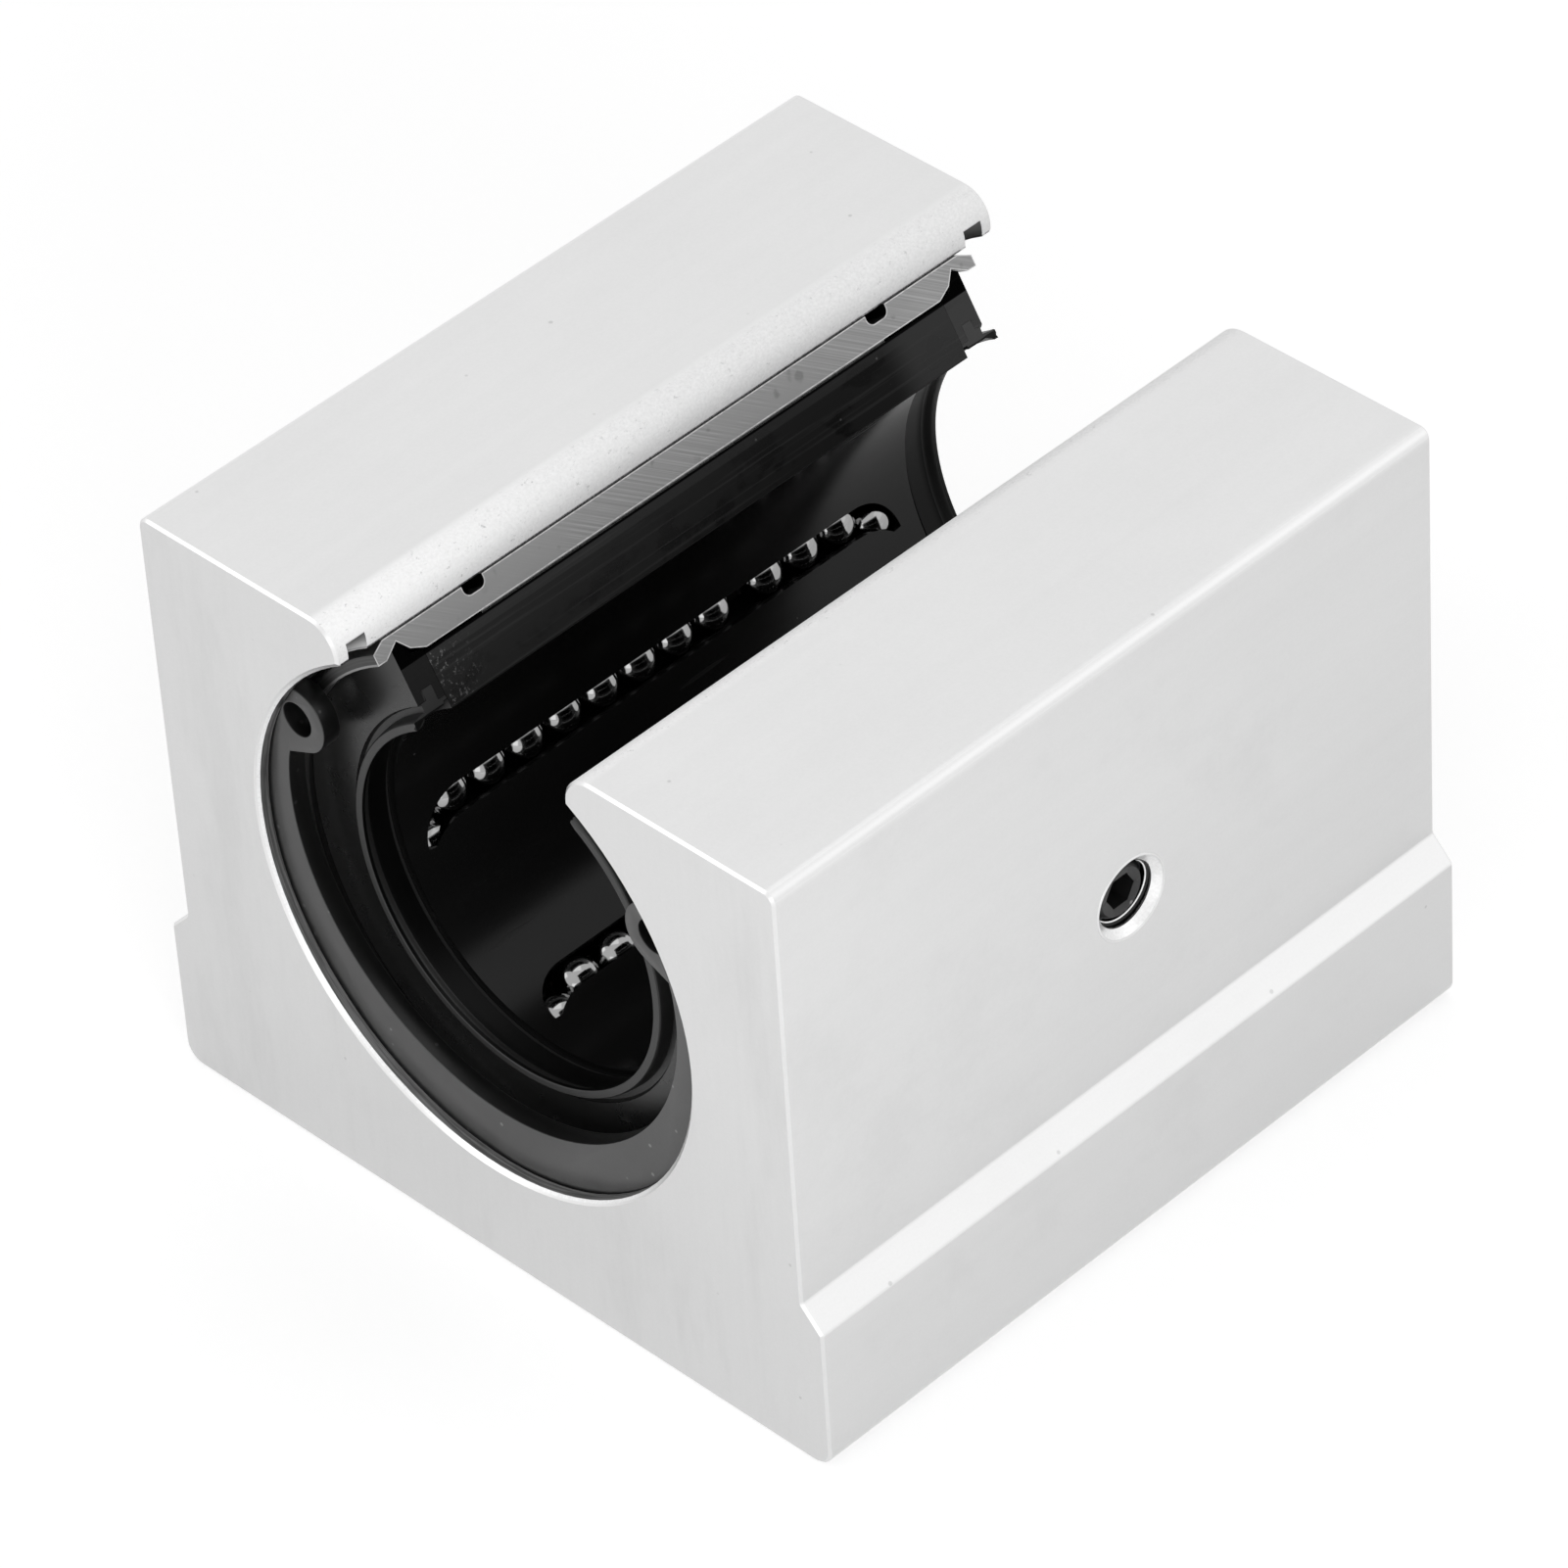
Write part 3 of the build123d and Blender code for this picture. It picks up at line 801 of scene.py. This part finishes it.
@dataclass
class Block:
    """The extruded housing and the threads cut in its holes."""

    finish: SatinAluminium = SatinAluminium()
    hole_step: float = 27.5 * MM
    tap_pitch: float = 1.25 * MM
    tap_wall: float = 3.44 * MM
    tap_crest: float = 3.24 * MM
    tap_start: float = 0.45 * MM
    tap_turns: float = 13.0
    tap_flank: float = 0.44
    screw_place: tuple[float, float, float] = (34.96 * MM, 1.3 * MM, 35.8 * MM)
    mouth_wall: float = 3.34 * MM
    mouth_crest: float = 2.99 * MM
    mouth_pitch: float = 1.0 * MM
    mouth_turns: float = 1.4
    mouth_flank: float = 0.3
    mouth_steps: int = 60
    wall_face: float = 37.75 * MM
    burr_radius: float = 4.0 * MM
    burr_width: float = 0.26 * MM
    burr_height: float = 0.11 * MM
    burr_sink: float = 0.02 * MM
    burr_steps: int = 72

    def build(self) -> None:
        """Dress the housing and cut its threads."""
        material = self.finish.material()
        dress("housing", material)
        self.mounting_threads(material)
        self.mouth_thread(material)
        self.mouth_burr(material)

    def mounting_threads(self, material: bpy.types.Material) -> None:
        """Ridges of the four threads that are tapped from below."""
        flank = self.tap_pitch * self.tap_flank
        outline = ((0.0, self.tap_wall), (flank, self.tap_crest),
                   (self.tap_pitch - flank, self.tap_crest), (self.tap_pitch, self.tap_wall))
        whole = Form()
        for across in (-self.hole_step, self.hole_step):
            for along in (-self.hole_step, self.hole_step):
                thread = Helix(outline, self.tap_pitch, self.tap_turns).wind()
                thread.shift((across, along, self.tap_start))
                data = bpy.data.meshes.new("thread")
                thread.mesh.to_mesh(data)
                thread.mesh.free()
                whole.mesh.from_mesh(data)
                bpy.data.meshes.remove(data)
        whole.piece("mounting_threads", "block", "housing_aluminium", material)

    def mouth_thread(self, material: bpy.types.Material) -> None:
        """The last turn of the side thread, which shows round the clamping screw."""
        flank = self.mouth_pitch * self.mouth_flank
        outline = ((0.0, self.mouth_wall), (flank, self.mouth_crest),
                   (flank * 1.2, self.mouth_crest), (flank * 2.0, self.mouth_wall))
        thread = Helix(outline, self.mouth_pitch, self.mouth_turns, self.mouth_steps).wind()
        thread.turn(math.pi / 2)
        thread.shift(self.screw_place)
        thread.piece("side_thread", "block", "housing_aluminium", material)

    def mouth_burr(self, material: bpy.types.Material) -> None:
        """The metal that the countersink raised round the side hole."""
        inner, outer = self.burr_radius, self.burr_radius + self.burr_width
        burr = Form()
        burr.lathe([(-self.burr_sink, inner), (self.burr_height * 0.7, inner + 0.04 * MM),
                    (self.burr_height, inner + self.burr_width * 0.4),
                    (self.burr_height * 0.6, outer - 0.05 * MM), (-self.burr_sink, outer)],
                   self.burr_steps)
        burr.turn(-math.pi / 2, (0, 0, 1))
        burr.shift((self.wall_face, *self.screw_place[1:]))
        burr.piece("side_hole_burr", "block", "housing_aluminium", material)


@dataclass
class Seal:
    """One lip seal, its lip flared and its ends torn where the slot was cut."""

    end: End
    face: float = 34.6 * MM
    bore: float = 17.53 * MM
    slot_angle: float = 31.0
    steps: int = 120
    nose_reach: float = 1.1 * MM
    tear: float = 0.45 * MM
    tear_depth: float = 1.4 * MM
    wave_scale: float = 2600
    fine_scale: float = 7000

    def profile(self) -> list[tuple[float, float]]:
        """Section of the seal as (along, radius), round its foot and lip."""
        face, bore, nose = self.face, self.bore, self.face + self.nose_reach
        places = [(nose - 0.40 * MM, bore), (nose - 0.06 * MM, bore), (nose, bore + 0.06 * MM),
                  (nose - 0.04 * MM, bore + 0.72 * MM), (nose - 0.16 * MM, bore + 0.84 * MM),
                  (face + 0.20 * MM, bore + 0.98 * MM), (face - 0.35 * MM, bore + 1.05 * MM),
                  (face - 0.35 * MM, bore + 1.62 * MM), (face - 0.05 * MM, bore + 1.78 * MM),
                  (face - 0.82 * MM, bore + 1.80 * MM), (face - 0.82 * MM, bore + 2.79 * MM),
                  (face - 2.08 * MM, bore + 2.79 * MM), (face - 2.08 * MM, bore + 1.30 * MM),
                  (face - 2.90 * MM, bore + 1.30 * MM), (face - 2.90 * MM, bore + 1.00 * MM),
                  (face - 2.45 * MM, bore + 1.00 * MM), (face - 2.38 * MM, bore + 0.62 * MM),
                  (face - 0.25 * MM, bore + 0.60 * MM)]
        return [(self.end.value * along, radius) for along, radius in places]

    def build(self, material: bpy.types.Material) -> None:
        """Spin the section and tear its two cut ends.

        Args:
            material: the rubber.
        """
        form = Form()
        form.outline(self.profile(), cuts=2)
        face = bmesh.ops.contextual_create(form.mesh, geom=form.mesh.edges[:])["faces"]
        form.turn(math.radians(self.slot_angle))
        sweep = math.tau - 2 * math.radians(self.slot_angle)
        bmesh.ops.spin(form.mesh, geom=form.mesh.verts[:] + form.mesh.edges[:] + face,
                       cent=(0, 0, 0), axis=(0, 1, 0), angle=sweep, steps=self.steps)
        self.tear_ends(form)
        form.shift((0, 0, BORE_HEIGHT))
        form.piece(f"seal_{self.end.word}", "block", "seal_rubber", material,
                   stands_for=f"end_seal_{self.end.word}", smooth=40.0)

    def tear_ends(self, form: Form) -> None:
        """Shift the vertices of both cut ends a little along the cut and inward."""
        edge = math.radians(self.slot_angle)
        for vertex in form.mesh.verts:
            place = vertex.co
            bearing = abs(math.atan2(place.x, place.z))
            if bearing > edge + 0.002:
                continue
            depth = math.hypot(place.x, place.z) - self.bore
            thin = max(0.0, 1.0 - depth / self.tear_depth)
            wave = noise.noise(place * self.wave_scale + Vector((self.end.value * 7.0, 0, 3.0)))
            fine = noise.noise(place * self.fine_scale)
            pull = self.tear * thin * (wave * 1.5 + fine * 0.6)
            around = Vector((place.z, 0, -place.x)).normalized()
            outward = 1 if place.x > 0 else -1
            vertex.co = place + around * outward * abs(pull) + Vector((0, pull * 0.5, 0))


@dataclass
class Bushing:
    """The recirculating ball bushing with its sleeve, retainer, end rings and seals."""

    circuits: int = 5
    rim_width: float = 0.10 * MM

    def build(self) -> None:
        """Dress every piece of the bushing."""
        steel = SawnSteel().material()
        dress("outer_sleeve", steel)
        sleeve = Form.of_node("outer_sleeve")
        sleeve.wear_slot_edges(self.rim_width)
        sleeve.piece("slotted_sleeve", "block", "sleeve_steel", steel,
                     stands_for="outer_sleeve")
        dress("ball_retainer", MouldedPlastic("retainer_plastic").material())
        plastic = MouldedPlastic("end_ring_plastic", level=0.010, roughness=0.28,
                                 specular=0.5, rear_gain=-0.008).material()
        rubber = SealRubber().material()
        for end in End:
            dress(f"end_ring_{end.word}", plastic)
            dress(f"end_seal_{end.word}", rubber)
            Seal(end).build(rubber)
        steel = PolishedSteel().material()
        for number in range(1, self.circuits + 1):
            dress(f"loaded_balls_{number}", steel)
            dress(f"return_balls_{number}", steel)


@dataclass
class ClampScrew:
    """Socket set screw with a helical thread."""

    crest: float = 2.93 * MM
    root: float = 2.61 * MM
    pitch: float = 1.0 * MM
    steps: int = 48
    end_chamfer: float = 0.4 * MM
    socket_mouth: float = 1.92 * MM
    socket_flats: float = 1.5 * MM
    socket_depth: float = 3.2 * MM
    tip_radius: float = 2.0 * MM
    tip_length: float = 0.9 * MM
    tip_cone: float = 0.6 * MM
    edge_break: float = 0.15 * MM
    drill_point: float = 0.6 * MM
    pole_radius: float = 0.02 * MM
    root_share: float = 0.08
    flank_share: float = 0.38

    def build(self, material: bpy.types.Material) -> None:
        """Wind the thread along Z, close both ends, then lay the screw along X.

        Args:
            material: its finish.
        """
        low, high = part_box("set_screw")
        length = high[0] - low[0]
        top, bottom = length - self.end_chamfer, self.tip_length + self.tip_cone
        flank = self.pitch * self.flank_share
        root_end = self.pitch * self.root_share
        outline = ((0.0, self.root), (root_end, self.root), (flank, self.crest),
                   (self.pitch - flank, self.crest), (self.pitch - root_end, self.root),
                   (self.pitch, self.root))
        turns = math.ceil((top - bottom) / self.pitch) + 2
        form = Helix(outline, self.pitch, turns, self.steps).wind()
        form.shift((0, 0, bottom - self.pitch))
        for height, keep_below in ((top, True), (bottom, False)):
            geometry = form.mesh.verts[:] + form.mesh.edges[:] + form.mesh.faces[:]
            bmesh.ops.bisect_plane(form.mesh, geom=geometry, plane_co=(0, 0, height),
                                   plane_no=(0, 0, 1), clear_outer=keep_below,
                                   clear_inner=not keep_below)
        form.merge()
        self.close_head(form, top, length)
        self.close_tip(form, bottom)
        form.turn(math.pi / 2)
        middle = [(lowest + highest) / 2 for lowest, highest in zip(low, high)]
        form.shift((low[0], middle[1], middle[2]))
        form.piece("clamp_screw", "clamp", "screw_steel", material, stands_for="set_screw")

    def rim(self, form: Form, height: float) -> list[Any]:
        """Open edges of the mesh at one height."""
        return [edge for edge in form.mesh.edges if edge.is_boundary
                and all(abs(vert.co.z - height) < 0.01 * MM for vert in edge.verts)]

    def step(self, form: Form, rim: list[Any], height: float, radius: float,
             sides: int = 0) -> list[Any]:
        """Draw a rim to a new height and to a circle or polygon.

        Args:
            form: the screw.
            rim: its open edges.
            height: where they go.
            radius: of the circle, or half the width across flats.
            sides: of the polygon, or 0 for a circle.

        Returns:
            The new open edges.
        """
        grown = bmesh.ops.extrude_edge_only(form.mesh, edges=rim)["geom"]
        for vertex in (item for item in grown if isinstance(item, bmesh.types.BMVert)):
            bearing = math.atan2(vertex.co.y, vertex.co.x)
            reach = radius
            if sides:
                share = math.tau / sides
                reach = radius / math.cos((bearing + share / 2) % share - share / 2)
            vertex.co = (reach * math.cos(bearing), reach * math.sin(bearing), height)
        return [item for item in grown if isinstance(item, bmesh.types.BMEdge)
                and item.is_boundary]

    def close_head(self, form: Form, top: float, length: float) -> None:
        """Chamfer, flat face and hexagon socket with a drilled floor."""
        rim = self.rim(form, top)
        rim = self.step(form, rim, length, self.root - self.end_chamfer / 2)
        rim = self.step(form, rim, length, self.socket_mouth)
        rim = self.step(form, rim, length - self.edge_break, self.socket_flats, 6)
        rim = self.step(form, rim, length - self.socket_depth, self.socket_flats, 6)
        rim = self.step(form, rim, length - self.socket_depth, self.socket_flats * 0.98)
        floor = length - self.socket_depth - self.drill_point
        rim = self.step(form, rim, floor, self.pole_radius)
        bmesh.ops.contextual_create(form.mesh, geom=rim)

    def close_tip(self, form: Form, bottom: float) -> None:
        """Cone, short dog point and flat end."""
        rim = self.rim(form, bottom)
        rim = self.step(form, rim, self.tip_length, self.tip_radius)
        rim = self.step(form, rim, self.edge_break, self.tip_radius)
        rim = self.step(form, rim, 0.0, self.tip_radius - self.edge_break)
        bmesh.ops.contextual_create(form.mesh, geom=rim)


@dataclass
class RetainingRing:
    """Internal retaining ring with a straight shoulder under each lug."""

    end: End
    edge_round: float = 0.13 * MM
    sharp_from: float = 40.0
    lug_bearing: float = 62.0
    lug_circle: float = 24.2 * MM
    lug_radius: float = 3.3 * MM
    inner_radius: float = 23.3 * MM
    inner_offset: float = 2.5 * MM
    shoulder_bearing: float = 72.8
    reach: float = 0.03 * MM
    hollow: float = 1.5 * MM

    def build(self, material: bpy.types.Material) -> None:
        """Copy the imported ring, straighten its shoulders and round its edges.

        Args:
            material: its finish.
        """
        node = f"retaining_ring_{self.end.word}"
        dress(node, material)
        ring = Form.of_node(node)
        self.straighten(ring)
        ring.bevel_corners(self.edge_round, self.sharp_from)
        ring.piece(f"circlip_{self.end.word}", "block", "ring_steel", material,
                   stands_for=node)

    def straighten(self, ring: Form) -> None:
        """Draw the hollow between lug and band onto a line that touches the lug.

        Args:
            ring: the copied ring.
        """
        bearing, foot_bearing = math.radians(self.lug_bearing), math.radians(self.shoulder_bearing)
        lug = Vector((math.sin(bearing), math.cos(bearing))) * self.lug_circle
        upward = self.inner_offset * math.cos(foot_bearing)
        drop = self.inner_radius ** 2 - self.inner_offset ** 2
        foot = Vector((math.sin(foot_bearing), math.cos(foot_bearing))) * (
            upward + math.sqrt(upward ** 2 + drop))
        toward = lug - foot
        span = math.sqrt(toward.length_squared - self.lug_radius ** 2)
        lean = math.asin(self.lug_radius / toward.length)
        toward.rotate(Matrix.Rotation(lean, 2))
        line = -toward.normalized()
        start = foot - line * span
        for vertex in ring.mesh.verts:
            place = Vector((abs(vertex.co.x), vertex.co.z - BORE_HEIGHT))
            on_lug = abs((place - lug).length - self.lug_radius) < self.reach
            centre = Vector((0, self.inner_offset))
            on_band = abs((place - centre).length - self.inner_radius) < self.reach
            along = (place - start).dot(line)
            if not (on_lug or on_band) or not 0 < along < span:
                continue
            if (place - start - line * along).length > self.hollow:
                continue
            place = start + line * along
            vertex.co.x = math.copysign(place.x, vertex.co.x)
            vertex.co.z = place.y + BORE_HEIGHT


@dataclass
class Fasteners:
    """The retaining rings and the clamping screw."""

    ring_finish: BlackOxide = BlackOxide("ring_oxide", wall_painted_shade=0.7)
    screw_finish: BlackOxide = BlackOxide("screw_oxide", level=0.05, roughness=0.4)

    def build(self) -> None:
        """Make the rings, then the screw."""
        oxide = self.ring_finish.material()
        for end in End:
            RetainingRing(end).build(oxide)
        black = self.screw_finish.material()
        dress("set_screw", black)
        ClampScrew().build(black)


@dataclass
class Softbox:
    """One square area lamp aimed at the block; unmirrored, it lights only what is matt."""

    name: str
    place: tuple[float, float, float]
    side: float
    glow: float
    mirrored: bool = True
    target: tuple[float, float, float] = (0.0, 0.0, 30 * MM)

    def build(self) -> None:
        """Add the lamp. Its power follows from how bright its face looks."""
        lamp = bpy.data.lights.new(self.name, "AREA")
        lamp.shape = "SQUARE"
        lamp.size = self.side
        lamp.energy = self.glow * math.pi * self.side ** 2
        holder = bpy.data.objects.new(self.name, lamp)
        holder.visible_glossy = self.mirrored
        aim = Vector(self.target) - Vector(self.place)
        holder.matrix_world = (Matrix.Translation(self.place)
                               @ aim.to_track_quat("-Z", "Y").to_matrix().to_4x4())
        bpy.context.scene.collection.objects.link(holder)


@dataclass
class Studio:
    """Floor, white surroundings, lamps and the camera at the photograph's angle."""

    floor_side: float = 3.0
    floor_level: float = 0.80
    floor_fill: float = 0.40
    mirror_fill: float = 0.24
    away_painted_light: float = 0.05
    ahead_painted_light: float = 0.11
    near_share_of_painted_light: float = 0.35
    beside_reach: tuple[float, float] = (40 * MM, 85 * MM)
    ahead_reach: tuple[float, float] = (-5 * MM, 80 * MM)
    surround: float = 0.62
    camera_place: tuple[float, float, float] = (441.8 * MM, -417.9 * MM, 542.0 * MM)
    azimuth: float = -43.24
    elevation: float = 40.18
    roll: float = -3.89
    focal_pixels: float = 9318.0
    image_pixels: float = 1601.0
    sensor: float = 36.0
    nearest: float = 0.01

    def build(self) -> None:
        """Set up everything round the part."""
        self.make_floor()
        self.make_world()
        for lamp in (
            Softbox("right_back_softbox", (0.55, 0.45, 0.55), 0.55, 0.25),
            Softbox("front_left_softbox", (-0.55, -0.75, 0.60), 0.50, 0.9),
            Softbox("front_right_softbox", (0.60, -0.95, 0.32), 0.45, 0.9),
            Softbox("top_softbox", (-0.15, 0.10, 0.95), 0.60, 0.6),
            Softbox("low_right_softbox", (0.80, -0.40, 0.26), 0.50, 3.6, mirrored=False),
        ):
            lamp.build()
        self.make_camera()
        bpy.context.scene.view_settings.view_transform = "Standard"

    def make_floor(self) -> None:
        """A pale floor that looks white to the camera and keeps the shadow; in reflections it
        glows, with a painted pool of light ahead of the block and painted shade close to it.
        """
        mesh = bpy.data.meshes.new("floor")
        sheet = bmesh.new()
        bmesh.ops.create_grid(sheet, x_segments=1, y_segments=1, size=self.floor_side / 2)
        sheet.to_mesh(mesh)
        sheet.free()
        floor = bpy.data.objects.new("floor", mesh)
        bpy.context.scene.collection.objects.link(floor)
        board = Board("floor")
        path = board.node("ShaderNodeLightPath")
        seen = Wire(board, path.outputs["Is Camera Ray"])
        mirrored = Wire(board, path.outputs["Is Glossy Ray"])
        # in reflections the floor glows brighter away from the block and toward the front right:
        # painted light, with painted shade close to the block
        beside = board.greatest(abs(board.x), abs(board.y)).ramp(*self.beside_reach)
        ahead = (board.x - board.y).ramp(*self.ahead_reach)
        ahead = ahead * (self.near_share_of_painted_light + beside * (1.0 - self.near_share_of_painted_light))
        reflected_glow_with_painted_light = self.mirror_fill + beside * self.away_painted_light + ahead * self.ahead_painted_light
        fill = seen * self.floor_fill + mirrored * reflected_glow_with_painted_light
        mesh.materials.append(board.finish(
            Base_Color=grey(self.floor_level), Roughness=0.9, Specular_IOR_Level=0.0,
            Emission_Color=board.join(fill, fill, fill), Emission_Strength=1.0))

    def make_world(self) -> None:
        """White surroundings for the camera and for reflections."""
        world = bpy.data.worlds.new("surroundings")
        world.use_nodes = True
        bpy.context.scene.world = world
        tree = world.node_tree
        path = tree.nodes.new("ShaderNodeLightPath")
        level = tree.nodes["Background"].inputs["Strength"]
        seen = None
        for ray in ("Is Camera Ray", "Is Glossy Ray", "Is Transmission Ray"):
            if seen is None:
                seen = path.outputs[ray]
                continue
            both = tree.nodes.new("ShaderNodeMath")
            both.operation = "MAXIMUM"
            tree.links.new(seen, both.inputs[0])
            tree.links.new(path.outputs[ray], both.inputs[1])
            seen = both.outputs[0]
        scale = tree.nodes.new("ShaderNodeMapRange")
        scale.inputs["To Min"].default_value = self.surround
        scale.inputs["To Max"].default_value = 1.0
        tree.links.new(seen, scale.inputs["Value"])
        tree.links.new(scale.outputs["Result"], level)
        tree.nodes["Background"].inputs["Color"].default_value = grey(1.0)

    def make_camera(self) -> None:
        """Camera from the fit to the photograph."""
        turn, lift = math.radians(self.azimuth), math.radians(self.elevation)
        ahead = -Vector((math.cos(lift) * math.cos(turn), math.cos(lift) * math.sin(turn),
                         math.sin(lift)))
        right = ahead.cross(Vector((0, 0, 1))).normalized()
        up = right.cross(ahead)
        lean = math.radians(self.roll)
        right, up = (math.cos(lean) * right + math.sin(lean) * up,
                     math.cos(lean) * up - math.sin(lean) * right)
        lens = bpy.data.cameras.new("camera")
        lens.sensor_width = self.sensor
        lens.lens = self.sensor * self.focal_pixels / self.image_pixels
        lens.clip_start = self.nearest
        camera = bpy.data.objects.new("camera", lens)
        axes = Matrix((right, up, -ahead)).transposed().to_4x4()
        camera.matrix_world = Matrix.Translation(self.camera_place) @ axes
        bpy.context.scene.collection.objects.link(camera)
        bpy.context.scene.camera = camera


def main() -> None:
    """Build the looks in order, logging each part as it is built."""
    logging.basicConfig(level=logging.INFO)
    for part in (Block(), Bushing(), Fasteners(), Studio()):
        part.build()
        log.info("built %s", type(part).__name__)


if __name__ == "__main__":
    main()
